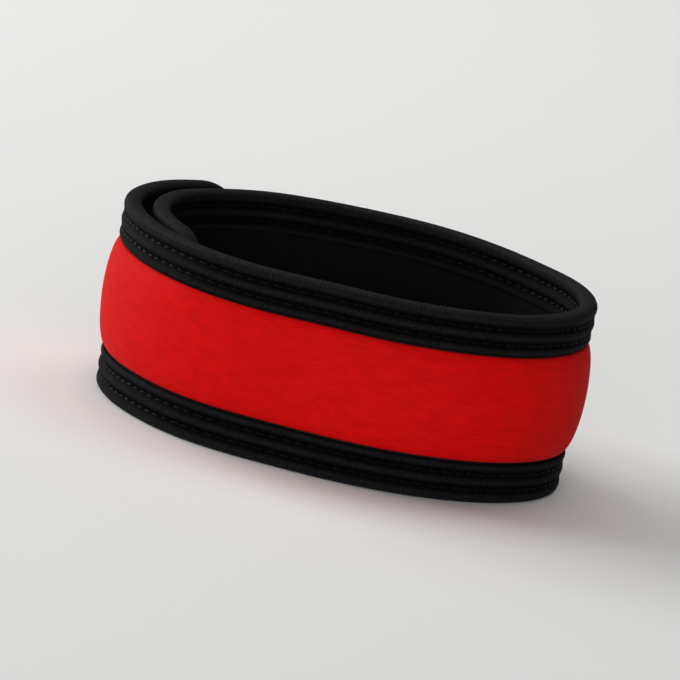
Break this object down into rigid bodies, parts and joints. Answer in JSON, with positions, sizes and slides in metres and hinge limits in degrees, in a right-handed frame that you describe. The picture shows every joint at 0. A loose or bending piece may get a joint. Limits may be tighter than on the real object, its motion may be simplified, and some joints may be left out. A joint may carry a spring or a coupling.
{
  "type": "bicep band",
  "caption": "Soft padded arm strap, wound once round and lapped over its own end, with a raised stripe, bound edges and an open arm hole.",
  "frame": {"origin": "middle of the band's footprint, on the surface that its lower rim rests on", "axes": "+Z along the axis of the arm hole; Y along the longer way across the loop, X along the shorter; the strap's inner end faces -X and its outer end lies at the +Y side"},
  "size_m": [0.1, 0.1078, 0.04],
  "materials": {
    "black_neoprene": "black nylon jersey on foam rubber, matt with a soft sheen",
    "binding_tape": "black folded stretch tape with sewn grooves, satin",
    "red_neoprene": "bright red jersey on foam rubber, smooth, with a soft sheen",
    "hook_and_loop": "black hook and loop pads pressed together, fuzzy"
  },
  "bodies": {
    "root": {"base_band": "black_neoprene", "edge_binding": "binding_tape", "red_stripe": "red_neoprene", "hook_and_loop_closure": "hook_and_loop"}
  },
  "joints": []
}
